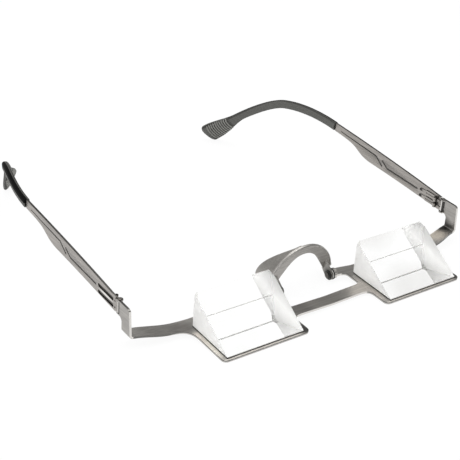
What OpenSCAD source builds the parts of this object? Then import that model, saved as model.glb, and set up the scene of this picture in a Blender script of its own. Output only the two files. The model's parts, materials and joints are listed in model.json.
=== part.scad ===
// Belay glasses: two mirrored prisms on a folded sheet frame, with folding temples and a saddle bridge.
// The glasses are drawn in their own frame: X across the face, Y from the prisms towards the ears,
// Z up from the top face of the front sheet. Every piece is then laid down as the glasses rest on a table,
// on the front edge of the trays and on both temple tips.

/* [Prisms] */
// Width of each prism, across the face
prism_w = 30; // [24:0.5:34]
// Depth of each prism, from the eye side to the front edge
prism_d = 20.2; // [16:0.2:24]
// Height of the eye-side face of each prism
prism_h = 12.8; // [10:0.1:13.5]
// Distance between the middles of the two prisms
pupil_span = 67.4; // [65:0.2:72]
// Corner cut at each end of the prisms' ridge
ridge_cut = 1.3; // [0.5:0.1:2]
// Ground bevel along the long edges of each prism
prism_bevel = 0.35; // [0.15:0.05:0.6]

/* [Prism bonding] */
// Thickness of the mirror layer under each prism
mirror_t = 0.1; // [0.05:0.05:0.3]
// Thickness of the black bonding pad between mirror and tray
pad_t = 0.25; // [0.2:0.05:1]
// How far mirror and pad stay back from the prism's edges
bond_inset = 0.5; // [0.3:0.1:2]

/* [Front sheet] */
// Thickness of the front sheet and of the temple sheets
sheet_t = 0.8; // [0.7:0.05:1.2]
// Inside radius of the folds in the front sheet
fold_r = 0.6; // [0.4:0.1:1]
// Width over the two end plates
front_w = 141.4; // [139:0.2:148]
// Tray margin beside each prism, on the nose side
tray_in = 2.3; // [1:0.1:3]
// Tray margin beside each prism, on the ear side
tray_out = 1.7; // [1:0.1:3]
// Tray margin in front of each prism
tray_lip = 0.8; // [0.5:0.1:3]
// Depth of the sheet behind the prisms
tray_back = 4.5; // [3.5:0.1:6]
// Corner radius at the front of the trays
tray_corner_r = 1.8; // [0.8:0.1:3]
// Depth of the bar that joins the trays
bar_d = 5; // [4:0.1:8]
// Distance from the prisms' eye side forward to the bar
bar_setback = 6.8; // [5:0.1:8]
// Fillet where the bar meets a tray
bar_fillet = 1.5; // [0.8:0.1:2.5]
// Width of each arm at the end plate
arm_w = 5.2; // [4:0.1:6]
// How far the arms' front edge sweeps back at the end plate
arm_sweep = 2.7; // [1:0.1:4]
// How far the arms rise from the trays to the end plates
arm_rise = 1.4; // [0:0.1:2.5]

/* [End plates] */
// Top edge of the end plates, above the sheet
end_top = 11.4; // [11:0.1:14]
// Corner radius at the top front of the end plates
end_corner_r = 1.2; // [0.5:0.1:2.5]
// How far the end plates lean back, from the fold to the top
end_lean = 0.6; // [0:0.1:1.5]
// Height of the end plates where they reach back to the hinge
end_reach_h = 5.5; // [4.5:0.1:7]

/* [Hinges] */
// Outside radius of the rolled barrel on each temple
barrel_r = 0.8; // [0.7:0.05:1.2]
// Radius of the hinge pin
pin_r = 0.4; // [0.3:0.05:0.5]
// Radius of the pin's heads
pin_head_r = 0.65; // [0.55:0.05:1]
// Height of the pin's heads
pin_head_h = 0.25; // [0.15:0.05:0.6]
// Distance from the prisms' eye side back to the hinge axis
hinge_y = 10.5; // [10.4:0.05:14]
// Thickness of the hinge lugs
lug_t = 0.5; // [0.4:0.05:0.8]
// Outside radius of the hinge lugs
lug_r = 1.1; // [0.9:0.05:1.4]
// Running clearance round the hinge pin
pin_play = 0.05; // [0.02:0.01:0.08]
// Gap above and below the barrel, between the lugs
lug_gap = 0.12; // [0.08:0.02:0.2]
// Gap between the barrel and the edge of the end plate
barrel_gap = 0.3; // [0.2:0.05:0.5]

/* [Hinge springs] */
// Thickness of the spring leaf
leaf_t = 0.35; // [0.2:0.05:0.5]
// Half width of each spring finger
finger_r = 0.95; // [0.8:0.05:1.1]
// Outside radius of the coiled loop of each finger
loop_r = 0.7; // [0.6:0.05:1]
// Length of each spring finger
finger_l = 6.2; // [4:0.1:8]
// Play round the raised bar of each finger, in its slot
bar_play = 0.12; // [0.08:0.01:0.2]
// Width of the slit along each finger
slit_w = 0.25; // [0.15:0.05:0.4]
// Side of the square hook holes
hook_hole = 0.6; // [0.4:0.05:0.7]

/* [Temples] */
// Length of the flat temple sheet, from the hinge axis
temple_l = 65.8; // [60:0.2:75]
// Height of the temple sheet at the tip sleeve
temple_tail_h = 3.4; // [3:0.1:3.8]
// Rise of the temple's top edge along the flat sheet
temple_rise = 4.05; // [2:0.05:6]
// Height of the temple sheet at its deepest place
temple_belly_h = 6.3; // [5.5:0.1:7]
// Distance from the sleeve forward to the temple's deepest place
temple_belly_back = 24; // [20:0.5:28]
// Length of the two hinge slots
slot_l = 10.2; // [8:0.1:12]
// Width of the two hinge slots
slot_w = 1.4; // [1:0.05:1.6]
// Distance between the two hinge slots
slot_pitch = 2.5; // [2.3:0.05:2.7]
// Width of the engraved lines
line_w = 0.35; // [0.2:0.05:0.6]
// Depth of the engraved lines
line_d = 0.2; // [0.1:0.05:0.3]

/* [Tips] */
// How far back the tip sleeves reach beyond the flat sheet
tip_back = 63.7; // [55:0.5:70]
// How far the tips turn in
tip_in = 21.9; // [10:0.2:26]
// How far the tips turn down, from the flat sheet's end to the tip
tip_drop = 25.6; // [15:0.2:30]
// Length of the sleeve's straight run before it turns down
tip_straight = 30; // [24:0.5:34]
// How far the flat paddle of each tip is turned to lie against the head
tip_twist = 45; // [0:1:60]
// Height of the sleeve's straight run
sleeve_h = 3.5; // [3:0.1:4.5]
// Width of the paddle at the end of the sleeve
paddle_w = 9.3; // [5:0.1:10]
// How far the middle of the paddle hangs below the tang
paddle_drop = 0.35; // [0:0.05:0.8]
// Thickness of the sleeve
sleeve_w = 2.4; // [2.2:0.1:3.4]
// Height of the temple's tang inside the sleeve
tang_h = 2; // [1.4:0.1:2.2]
// Gap between the temple's shoulder and the sleeve's mouth
mouth_gap = 0.3; // [0.1:0.05:0.8]
// Clearance between the sleeve and the tang inside it
tang_play = 0.08; // [0.04:0.01:0.15]

/* [Nose bridge] */
// Thickness of the bridge sheet
bridge_t = 0.8; // [0.6:0.05:1]
// Height of the arch's ridge above the swivel axis
ridge_h = 13.8; // [11:0.1:16]
// Height of the front band at the crown of the arch
band_h = 3.3; // [2.5:0.1:4.5]
// Half width of the arch's ridge at its feet
ridge_half = 14; // [13:0.1:15]
// Distance from the swivel axis back to the front band
band_back = 3.1; // [2.7:0.1:5]
// Depth of the saddle at the crown
crown_d = 3; // [2:0.1:5]
// Depth of the nose pads at the feet
pad_d = 8.1; // [6:0.1:10]
// How far the bridge is swung forward on its swivels, as it rests
bridge_lean = 8; // [-10:1:15]

/* [Bridge swivels] */
// Distance from the prisms' eye side back to the swivel axis
swivel_y = 3.8; // [3.4:0.1:4.2]
// Outside radius of the ears and the outer washers
swivel_r = 2; // [1.7:0.05:2.2]
// Radius of the rivets
rivet_r = 0.7; // [0.5:0.05:0.8]
// Radius of the rivets' heads
rivet_head_r = 1.1; // [1:0.05:1.3]
// Thickness of the rivets' heads
rivet_head_t = 0.35; // [0.2:0.05:0.6]
// Length of each swivel tube
tube_l = 1.1; // [0.8:0.05:1.6]
// Distance from the outer end of each swivel tube to the tray
tube_setback = 3.2; // [2.8:0.1:4]
// Thickness of the black friction washers
friction_t = 0.4; // [0.25:0.05:0.6]
// Thickness of the steel washers
washer_t = 0.35; // [0.2:0.05:0.5]
// Play between an ear and the washers beside it
ear_play = 0.05; // [0.03:0.01:0.15]

/* [Hidden] */

LEFT = -1;
RIGHT = 1;
eps = 0.02;
steel = [0.64, 0.62, 0.59];
dark_steel = [0.5, 0.49, 0.47];
black = [0.07, 0.07, 0.07];
rubber = [0.3, 0.3, 0.29];
clear_glass = [0.93, 0.96, 0.96, 0.45];
silver = [0.86, 0.87, 0.88];
fine = 48;

// Prism and tray places, right half
prism_floor = pad_t + mirror_t;
prism_in = (pupil_span - prism_w) / 2;
prism_out = prism_in + prism_w;
tray_x0 = prism_in - tray_in;
tray_x1 = prism_out + tray_out;
tray_y0 = -prism_d - tray_lip;
bar_y1 = -bar_setback;
bar_y0 = bar_y1 - bar_d;

// End plate and hinge places, right half
end_x = front_w / 2;
plate_x = end_x - sheet_t;
fold_x = plate_x - fold_r;
fold_z = arm_rise + fold_r;
rise_x = tray_x1 + 1.5;
arm_y0 = arm_sweep;
arm_y1 = arm_sweep + arm_w;
end_low = end_top - end_reach_h;
hinge_x = end_x - barrel_r;
end_back = hinge_y - barrel_r - barrel_gap;
barrel_z0 = end_low + lug_t + lug_gap;
barrel_z1 = end_top - lug_t - lug_gap;
barrel_mid = (barrel_z0 + barrel_z1) / 2;

// Temple places, in the plane of the temple sheet
temple_y1 = hinge_y + temple_l;
temple_top0 = end_top + 0.1;
temple_low0 = end_low + 0.1;
tail_top = end_top + temple_rise;
tail_mid = tail_top - temple_tail_h / 2;
neck_back = lug_r + 0.3;
slot_y0 = hinge_y + 2.7;
slot_zs = [barrel_mid - slot_pitch / 2 + 0.05, barrel_mid + slot_pitch / 2 + 0.05];
hook_y = hinge_y + 1.75;
finger_y0 = slot_y0 + 0.9;
finger_y1 = finger_y0 + finger_l - finger_r;

// Path of the tip, from inside the flat sheet to the paddle's end
tip_p0 = [end_x - sheet_t / 2, temple_y1 - 0.5, tail_mid];
tip_p1 = tip_p0 + [-tip_in * 0.25, tip_straight, -0.5];
tip_p2 = tip_p0 + [-tip_in, tip_back, -tip_drop];
path_one = [tip_p0, tip_p0 + [0, 11, 0.75], tip_p1 + [2.6, -9, 2.1], tip_p1];
path_two = [tip_p1, tip_p1 + [-2.5, 8.6, -2.3], tip_p2 + [6.1, -13.4, 13], tip_p2];
mouth_at = (0.5 + mouth_gap) / 33;
tang_end_at = 1.7;
end_from = 1.965;
sleeve_steps = 42;
end_steps = 5;
tang_steps = 28;
ring_points = 20;

// Bridge swivel places, right half, outwards from the rivet's head
swivel_z = -sheet_t / 2;
tube_x1 = tray_x0 - tube_setback;
tube_x0 = tube_x1 - tube_l;
outer_ring_x = tube_x0 - friction_t;
washer_x = outer_ring_x - washer_t;
ear_x1 = washer_x - ear_play;
ear_x0 = ear_x1 - bridge_t;
inner_ring_x = ear_x0 - ear_play - friction_t;
rivet_play = 0.02;

// Bezier helpers
function bez(p, t) =
    let (u = 1 - t) u * u * u * p[0] + 3 * u * u * t * p[1] + 3 * u * t * t * p[2] + t * t * t * p[3];
function bez_slope(p, t) =
    let (u = 1 - t) 3 * u * u * (p[1] - p[0]) + 6 * u * t * (p[2] - p[1]) + 3 * t * t * (p[3] - p[2]);
function curve(p, n = 10) = [for (i = [1:n]) bez(p, i / n)];
function arc(c, r, a0, a1, n = 8) =
    [for (i = [0:n]) let (a = a0 + (a1 - a0) * i / n) c + r * [cos(a), sin(a)]];
function ease(a, b, x) = let (u = min(1, max(0, (x - a) / (b - a)))) u * u * (3 - 2 * u);
function unit(v) = v / norm(v);

// A closed skin over rings of points. Looking back from the last ring, each ring turns anticlockwise.
module skin(rings) {
    n = len(rings[0]);
    last = len(rings) - 1;
    points = [for (r = rings) each r];
    sides = [for (i = [0:last - 1], j = [0:n - 1], k = [0, 1])
        let (a = i * n + j, b = i * n + (j + 1) % n, c = a + n, d = b + n)
        k == 0 ? [a, c, b] : [b, c, d]];
    caps = [[for (j = [0:n - 1]) j], [for (j = [n - 1:-1:0]) last * n + j]];
    polyhedron(points, concat(sides, caps), convexity = 6);
}

// The path of the tip runs from 0 at the flat sheet through 1 at the turn to 2 at the paddle's end
function path_at(t) = t < 1 ? bez(path_one, t) : bez(path_two, t - 1);
function path_dir(t) = unit(t < 1 ? bez_slope(path_one, t) : bez_slope(path_two, t - 1));
function path_side(t) = let (d = path_dir(t)) unit([1, 0, 0] - d[0] * d);

// Half sizes of the sleeve along the path: above, below and across
function round_off(t) = t <= end_from ? 1 : sqrt(max(0, 1 - pow((t - end_from) / (2 - end_from), 2)));
function widening(end_w, from, to, t) = (sleeve_h + (end_w - sleeve_h) * ease(from, to, t)) / 2;
function sleeve_up(t) =
    widening(paddle_w - 2 * paddle_drop, 1.66, 1.96, t) * (0.2 + 0.8 * round_off(t));
function sleeve_down(t) =
    widening(paddle_w + 2 * paddle_drop, 1.56, 1.9, t) * (0.2 + 0.8 * round_off(t));
function sleeve_across(t) = sleeve_w / 2 * (1 - 0.15 * ease(1.4, 1.9, t)) * (0.4 + 0.6 * round_off(t));
function twist_at(t) = tip_twist * ease(1, 1.75, t);

// The two directions across the path, turned by the twist: thickness first, then height
function path_frame(t) =
    let (s = path_side(t), w = cross(s, path_dir(t)), c = cos(twist_at(t)), q = sin(twist_at(t)))
    [c * s + q * w, c * w - q * s];
function sleeve_ring(t) =
    let (o = path_at(t), f = path_frame(t))
    [for (j = [0:ring_points - 1])
        let (a = -360 * j / ring_points, c = cos(a), q = sin(a), k = 0.6,
             across = sign(c) * pow(abs(c), k) * sleeve_across(t),
             along = sign(q) * pow(abs(q), k) * (q > 0 ? sleeve_up(t) : sleeve_down(t)))
        o + across * f[0] + along * f[1]];
function tang_ring(t, grow, at) =
    let (o = path_at(t) + at, f = path_frame(t), h = tang_h / 2 * (1 - 0.3 * ease(0.2, 1.6, t)) + grow,
         q = sheet_t / 2 - eps + grow)
    [for (c = [[q, h], [q, -h], [-q, -h], [-q, h]]) o + c[0] * f[0] + c[1] * f[1]];

sleeve_rings = concat(
    [for (i = [0:sleeve_steps]) sleeve_ring(mouth_at + (end_from - mouth_at) * i / sleeve_steps)],
    [for (i = [1:end_steps]) sleeve_ring(2 - (2 - end_from) * pow(1 - i / end_steps, 2))]);

// How the glasses lie: turned about the trays' front edge until the tips touch, then moved so that
// the origin is under the middle of their box
sleeve_points = [for (r = sleeve_rings) each r];
lie_angle = max([for (p = sleeve_points) atan2(-sheet_t - p[2], p[1] - tray_y0)]);
function lie_y(p) = p[1] * cos(lie_angle) - p[2] * sin(lie_angle);
lie_front = lie_y([0, tray_y0, 0]);
lie_back = max([for (p = sleeve_points) lie_y(p)]);
lie_low = tray_y0 * sin(lie_angle) - sheet_t * cos(lie_angle);

module lie()
    translate([0, -(lie_front + lie_back) / 2, -lie_low]) rotate([lie_angle, 0, 0]) children();

module side(s)
    if (s == LEFT) mirror([1, 0, 0]) children();
    else children();

// Turns a drawing made in the side view, y then z, into a sheet of thickness t from x outwards
module side_sheet(x, t)
    translate([x, 0, 0]) rotate([90, 0, 90]) linear_extrude(t) children();

// A round bar along X
module x_bar(x0, x1, r, y = swivel_y, z = swivel_z)
    translate([x0, y, z]) rotate([0, 90, 0]) cylinder(h = x1 - x0, r = r, $fn = fine);

// Plan of the front sheet, right half, from the middle of the bar round to the middle again
function front_plan() =
    let (nose_tab_y0 = swivel_y - swivel_r, nose_tab_y1 = swivel_y + swivel_r)
    concat(
        [[-eps, bar_y0]],
        [[tray_x0 - bar_fillet - 2, bar_y0 + 0.4]],
        curve([[tray_x0 - bar_fillet - 2, bar_y0 + 0.4], [tray_x0 - 1, bar_y0 + 0.4],
               [tray_x0, bar_y0 - 0.5], [tray_x0, bar_y0 - bar_fillet - 1.5]]),
        arc([tray_x0 + tray_corner_r, tray_y0 + tray_corner_r], tray_corner_r, 180, 270),
        arc([tray_x1 - tray_corner_r, tray_y0 + tray_corner_r], tray_corner_r, 270, 360),
        [[tray_x1, -bar_setback - 0.5]],
        curve([[tray_x1, -bar_setback - 0.5], [tray_x1, -2.6], [tray_x1 + 1.5, -0.6], [tray_x1 + 6, -0.25]]),
        curve([[tray_x1 + 6, -0.25], [tray_x1 + 12.5, 0], [fold_x - 5.5, arm_y0 - 1.4], [fold_x, arm_y0]], 12),
        [[fold_x, arm_y1]],
        curve([[fold_x, arm_y1], [fold_x - 5, arm_y1 - 1.2], [tray_x1 + 10, tray_back + 0.7],
               [tray_x1 - 2, tray_back]], 14),
        [[tray_x0 + 6, tray_back]],
        curve([[tray_x0 + 6, tray_back], [tray_x0 + 3, tray_back], [tray_x0 + 1, nose_tab_y1],
               [tube_x1 - 0.6, nose_tab_y1]], 8),
        [[tube_x1 - 0.6, nose_tab_y0]],
        curve([[tube_x1 - 0.6, nose_tab_y0], [tray_x0 - 1.5, nose_tab_y0], [tray_x0, nose_tab_y0 - 0.3],
               [tray_x0, nose_tab_y0 - 2]], 8),
        [[tray_x0, bar_y1 + bar_fillet + 0.4]],
        curve([[tray_x0, bar_y1 + bar_fillet + 0.4], [tray_x0, bar_y1 + 1],
               [tray_x0 - 1, bar_y1 + 0.5], [tray_x0 - bar_fillet - 0.8, bar_y1 + 0.4]], 8),
        [[-eps, bar_y1]]);

// Side view of an end plate, from the fold up to the hinge
function end_plan() =
    concat(
        [[arm_y0, fold_z - eps]],
        arc([arm_y0 + end_lean + end_corner_r, end_top - end_corner_r], end_corner_r, 180, 90, 6),
        [[end_back, end_top], [end_back, end_low], [end_back - 0.4, end_low]],
        curve([[end_back - 0.4, end_low], [arm_y1 + 0.6, end_low - 0.2],
               [arm_y1, end_low - 0.6], [arm_y1, end_low - 1.5]], 6),
        [[arm_y1, fold_z - eps]]);

// A hinge lug: a round eye that reaches the end plate
module lug(z)
    translate([0, 0, z]) linear_extrude(lug_t) intersection() {
        union() {
            translate([hinge_x, hinge_y]) circle(r = lug_r, $fn = fine);
            polygon([[end_x, end_back - eps], [end_x, hinge_y], [hinge_x - lug_r, hinge_y],
                     [plate_x, end_back - eps]]);
        }
        translate([hinge_x - 3, end_back - eps]) square([end_x - hinge_x + 3, 4]);
    }

// Front view of the front sheet, right half: flat under the prism, rising along the arm
function front_profile() =
    let (rise = curve([[rise_x, 0], [rise_x + 7, 0], [fold_x - 8, arm_rise], [fold_x, arm_rise]], 14))
    concat([[-1, -sheet_t], [rise_x, -sheet_t]],
           [for (q = rise) q - [0, sheet_t]],
           [for (i = [len(rise) - 1:-1:0]) rise[i]],
           [[rise_x, 0], [-1, 0]]);

module front_half() {
    difference() {
        union() {
            intersection() {
                translate([0, 0, -2 * sheet_t]) linear_extrude(arm_rise + 4 * sheet_t) polygon(front_plan());
                translate([0, tray_back + 10, 0]) rotate([90, 0, 0])
                    linear_extrude(tray_back - tray_y0 + 20) polygon(front_profile());
            }
            x_bar(tube_x0, tube_x1, swivel_r - 0.1);
        }
        x_bar(tube_x0 - 1, tube_x1, rivet_r + rivet_play);
    }
    translate([fold_x, arm_y1, fold_z]) rotate([90, 0, 0]) rotate([0, 0, -90]) fold(arm_w);
    difference() {
        union() {
            side_sheet(plate_x, sheet_t) polygon(end_plan());
            lug(end_top - lug_t);
            lug(end_low);
        }
        translate([hinge_x, hinge_y, end_low - 1])
            cylinder(h = end_reach_h + 2, r = pin_r + rivet_play, $fn = fine);
    }
}

// A quarter of a bent sheet, lying along its own Z from 0 up to the given length
module fold(length)
    linear_extrude(length) difference() {
        intersection() {
            circle(r = fold_r + sheet_t, $fn = fine);
            square(fold_r + sheet_t);
        }
        circle(r = fold_r, $fn = fine);
    }

module front_frame()
    color(steel) lie() {
        side(RIGHT) front_half();
        side(LEFT) front_half();
    }

// Prisms, their mirror layers and bonding pads
module prism(s)
    color(clear_glass) lie() side(s) intersection() {
        side_sheet(prism_in, prism_w)
            translate([0, prism_floor]) polygon([
                [-prism_bevel, 0], [0, prism_bevel], [0, prism_h - prism_bevel * 1.4],
                [-prism_bevel, prism_h - prism_bevel * 0.6],
                [-prism_bevel * 1.6, prism_h - prism_bevel * 0.95],
                [-prism_d + prism_bevel * 0.5, prism_bevel * 0.3], [-prism_d + prism_bevel * 0.5, 0]]);
        translate([prism_in, 1, prism_floor]) rotate([90, 0, 0]) linear_extrude(prism_d + 2)
            polygon([[0, -1], [prism_w, -1], [prism_w, prism_h - ridge_cut], [prism_w - ridge_cut, prism_h],
                     [ridge_cut, prism_h], [0, prism_h - ridge_cut]]);
    }

module bonded_sheet(s, z, t, inset)
    lie() side(s) translate([prism_in + inset, -prism_d + inset + prism_bevel, z])
        cube([prism_w - 2 * inset, prism_d - 2 * inset - prism_bevel, t]);

module mirror_layer(s) color(silver) bonded_sheet(s, pad_t, mirror_t, bond_inset);
module bonding_pad(s) color(black) bonded_sheet(s, 0, pad_t, bond_inset);

// Temples: the flat sheet in side view, y then z
function temple_plan() =
    let (b = temple_belly_back, belly_y = temple_y1 - b,
         belly_z = temple_top0 + temple_rise * 0.6 - temple_belly_h, tail_low = tail_top - temple_tail_h)
    concat(
        [[hinge_y, barrel_z1], [hinge_y + neck_back, barrel_z1]],
        [[hinge_y + neck_back, temple_top0]],
        curve([[hinge_y + neck_back, temple_top0], [hinge_y + temple_l * 0.33, temple_top0 + 1.9],
               [hinge_y + temple_l * 0.68, tail_top - 0.75], [temple_y1, tail_top]], 16),
        [[temple_y1, tail_low]],
        curve([[temple_y1, tail_low], [temple_y1 - b * 0.21, tail_low - 0.25],
               [temple_y1 - b * 0.31, tail_low - 0.4], [temple_y1 - b * 0.46, tail_low - 0.95]], 6),
        curve([[temple_y1 - b * 0.46, tail_low - 0.95], [temple_y1 - b * 0.65, tail_low - 1.75],
               [temple_y1 - b * 0.69, belly_z + 0.1], [belly_y, belly_z]], 12),
        curve([[belly_y, belly_z], [hinge_y + temple_l * 0.44, belly_z - 0.25],
               [hinge_y + temple_l * 0.23, temple_low0 + 0.7], [hinge_y + neck_back, temple_low0]], 14),
        [[hinge_y + neck_back, barrel_z0], [hinge_y, barrel_z0]]);

// A rounded line from a to b, seen from the side
module line_cut(a, b, w) {
    d = b - a;
    translate(a) rotate(atan2(d[1], d[0])) {
        translate([0, -w / 2]) square([norm(d), w]);
        circle(d = w, $fn = 16);
        translate([norm(d), 0]) circle(d = w, $fn = 16);
    }
}

// The engraved lines, from the tail forward, as runs of points in side view
function engraving() = [
    [[temple_y1 - 4, tail_top - 2.2], [hinge_y + temple_l * 0.6, tail_top - 3.4],
     [hinge_y + temple_l * 0.54, tail_top - 6.1]],
    [[hinge_y + temple_l * 0.54, tail_top - 3.9], [hinge_y + temple_l * 0.49, tail_top - 5.9],
     [slot_y0 + slot_l + 1.6, tail_top - 6.2]]];

module engraved_lines()
    for (run = engraving(), i = [0:1]) line_cut(run[i], run[i + 1], line_w);

module temple(s)
    color(steel) lie() side(s) {
        difference() {
            union() {
                side_sheet(plate_x, sheet_t) difference() {
                    polygon(temple_plan());
                    for (z = slot_zs) line_cut([slot_y0 + slot_w / 2, z],
                        [slot_y0 + slot_l - slot_w / 2, z], slot_w);
                    for (z = slot_zs) translate([hook_y, z]) square(hook_hole, center = true);
                }
                translate([hinge_x, hinge_y, barrel_z0])
                    cylinder(h = barrel_z1 - barrel_z0, r = barrel_r, $fn = fine);
            }
            translate([hinge_x, hinge_y, barrel_z0 - 1])
                cylinder(h = end_reach_h + 2, r = pin_r + pin_play, $fn = fine);
            side_sheet(end_x - line_d, 1) engraved_lines();
            side_sheet(plate_x - 1, 1 + line_d) engraved_lines();
        }
        skin([for (i = [0:tang_steps]) let (t = i / tang_steps * tang_end_at)
            tang_ring(t, 0, [0, i == 0 ? -1 : 0, 0])]);
    }

// Hinge pins with a head at each end
module hinge_pin(s)
    color(dark_steel) lie() side(s) translate([hinge_x, hinge_y, 0]) {
        translate([0, 0, end_low - pin_head_h])
            cylinder(h = end_reach_h + 2 * pin_head_h, r = pin_r, $fn = fine);
        for (z = [end_low - pin_head_h, end_top]) translate([0, 0, z])
            cylinder(h = pin_head_h, r = pin_head_r, $fn = fine);
    }

// The spring leaf behind the slots: two slit fingers with raised bars, a web, coiled loops and hooks
module hinge_spring(s)
    color(dark_steel) lie() side(s) {
        loop_x = plate_x - loop_r - 0.05;
        side_sheet(plate_x - leaf_t, leaf_t) {
            difference() {
                union() {
                    for (z = slot_zs) {
                        translate([finger_y0, z - finger_r]) square([finger_y1 - finger_y0, 2 * finger_r]);
                        translate([finger_y1, z]) circle(r = finger_r, $fn = fine);
                    }
                    translate([finger_y0, slot_zs[0]]) square([1, slot_pitch]);
                }
                for (z = slot_zs) {
                    line_cut([finger_y0 + 0.9, z], [finger_y1 - 0.4, z], slit_w);
                    translate([finger_y1 - 0.1, z]) circle(r = slit_w, $fn = 24);
                }
            }
            for (z = slot_zs) translate([hook_y - hook_hole * 0.4, z - hook_hole * 0.4])
                square([finger_y0 - hook_y + hook_hole * 0.4 + eps, hook_hole * 0.8]);
        }
        for (z = slot_zs) {
            translate([loop_x, finger_y0, z - finger_r * 0.8]) difference() {
                cylinder(h = finger_r * 1.6, r = loop_r, $fn = fine);
                translate([0, 0, -1]) cylinder(h = finger_r * 1.6 + 2, r = loop_r - leaf_t, $fn = fine);
            }
            side_sheet(plate_x - leaf_t, leaf_t + sheet_t * 0.5)
                translate([hook_y, z]) square(hook_hole * 0.8, center = true);
            side_sheet(plate_x - leaf_t / 2, leaf_t / 2 + sheet_t * 0.6)
                line_cut([slot_y0 + slot_w / 2, z], [slot_y0 + slot_l - slot_w / 2, z], slot_w - 2 * bar_play);
        }
    }

// Rubber sleeve on each temple's bent tang
module tip_sleeve(s)
    color(rubber) lie() side(s) difference() {
        skin(sleeve_rings);
        skin([for (i = [0:tang_steps]) let (t = i / tang_steps * (tang_end_at + 0.01))
            tang_ring(t, tang_play, [0, 0, 0])]);
    }

// Nose bridge: a front band under a ridge, and a saddle that runs back from the ridge into two pads.
// It is drawn upright with the swivel axis at the origin. Each half runs from the crown, 0, to the foot, 1.
ridge_curve = [[0, ridge_h], [ridge_half * 0.486, ridge_h],
    [ridge_half * 0.92, ridge_h * 0.565], [ridge_half, 1]];
under_curve = [[0, ridge_h - band_h], [ridge_half * 0.35, ridge_h - band_h],
    [ridge_half * 0.48, ridge_h * 0.456], [ear_x0 + 0.5, -0.1]];
back_curve = [[0, band_back + crown_d, ridge_h - 2],
    [ridge_half * 0.34, band_back + crown_d - 0.5, ridge_h - 2.7],
    [ridge_half * 0.93, band_back + pad_d + 0.5, ridge_h * 0.49],
    [ridge_half - 0.5, band_back + pad_d, 0.4]];
arch_steps = 18;

function mirrored(q) = [-q[0], q[1], q[2]];
function on_front(p, y) = [p[0], y, p[1]];
function arch(c) = [for (i = [-arch_steps:arch_steps])
    let (q = bez(c, abs(i) / arch_steps)) [sign(i) * q[0], q[1]]];

// The saddle's section at one place, clockwise from the front: inner side first, then the outer side
function saddle_ring(t) =
    let (a = on_front(bez(ridge_curve, t), band_back), b = bez(back_curve, t),
         g = on_front(bez_slope(ridge_curve, t), 0),
         d = -unit(cross(g, b - a)), mid = (a + b) / 2 + 0.3 * d)
    [a + bridge_t * d, mid + bridge_t * d, b + bridge_t * d, b, mid, a];

module nose_bridge()
    color(steel) lie() translate([0, swivel_y, swivel_z]) rotate([bridge_lean, 0, 0]) difference() {
        union() {
            translate([0, band_back + bridge_t, 0]) rotate([90, 0, 0]) linear_extrude(bridge_t)
                polygon(concat(arch(ridge_curve), [for (q = arch(under_curve)) [-q[0], q[1]]]));
            skin([for (i = [-arch_steps:arch_steps]) let (r = saddle_ring(abs(i) / arch_steps))
                i < 0 ? [for (q = r) mirrored(q)] : r]);
            for (s = [LEFT, RIGHT]) side(s) swivel_ear();
        }
        for (s = [LEFT, RIGHT]) side(s) x_bar(ear_x0 - 1, ear_x1 + 1, rivet_r + pin_play, 0, 0);
    }

// An ear: a plate square to X that runs forward from the band's foot to the swivel axis
module swivel_ear()
    side_sheet(ear_x0, bridge_t) {
        circle(r = swivel_r, $fn = fine);
        polygon([[-swivel_r * 0.5, swivel_r * 0.86], [band_back, ridge_h * 0.3],
                 [band_back + bridge_t, ridge_h * 0.3], [band_back + bridge_t, 0.3],
                 [swivel_r * 0.5, -swivel_r * 0.86]]);
    }

// Rivets run from their head, through the ear and the washers, into the swivel tube
module nose_rivet(s)
    color(dark_steel) lie() side(s) {
        x_bar(inner_ring_x - eps, tube_x1, rivet_r);
        x_bar(inner_ring_x - rivet_head_t, inner_ring_x, rivet_head_r);
    }

module swivel_washer(x, t, r)
    difference() {
        x_bar(x, x + t, r);
        x_bar(x - 1, x + t + 1, rivet_r + rivet_play);
    }

// Two black rings a side: a small one under the rivet's head, a large one against the tube
module friction_washers(s)
    color(black) lie() side(s) {
        swivel_washer(inner_ring_x, friction_t, swivel_r - 0.4);
        swivel_washer(outer_ring_x, friction_t, swivel_r + 0.1);
    }

module nose_washer(s) color(silver) lie() side(s) swivel_washer(washer_x, washer_t, swivel_r - 0.1);

front_frame();
nose_bridge();
nose_rivet(LEFT);  // nose_rivet_left
nose_rivet(RIGHT);  // nose_rivet_right
friction_washers(LEFT);  // friction_washers_left
friction_washers(RIGHT);  // friction_washers_right
nose_washer(LEFT);  // nose_washer_left
nose_washer(RIGHT);  // nose_washer_right
prism(LEFT);  // prism_left
prism(RIGHT);  // prism_right
mirror_layer(LEFT);  // mirror_layer_left
mirror_layer(RIGHT);  // mirror_layer_right
bonding_pad(LEFT);  // bonding_pad_left
bonding_pad(RIGHT);  // bonding_pad_right
temple(LEFT);  // temple_left
temple(RIGHT);  // temple_right
hinge_pin(LEFT);  // hinge_pin_left
hinge_pin(RIGHT);  // hinge_pin_right
hinge_spring(LEFT);  // hinge_spring_left
hinge_spring(RIGHT);  // hinge_spring_right
tip_sleeve(LEFT);  // tip_sleeve_left
tip_sleeve(RIGHT);  // tip_sleeve_right
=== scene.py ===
"""Belay glasses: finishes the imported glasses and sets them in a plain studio."""
import json
import math

import bmesh
import bpy
from bpy.props import FloatProperty, FloatVectorProperty, IntProperty, PointerProperty
from mathutils import Matrix, Vector


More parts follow.
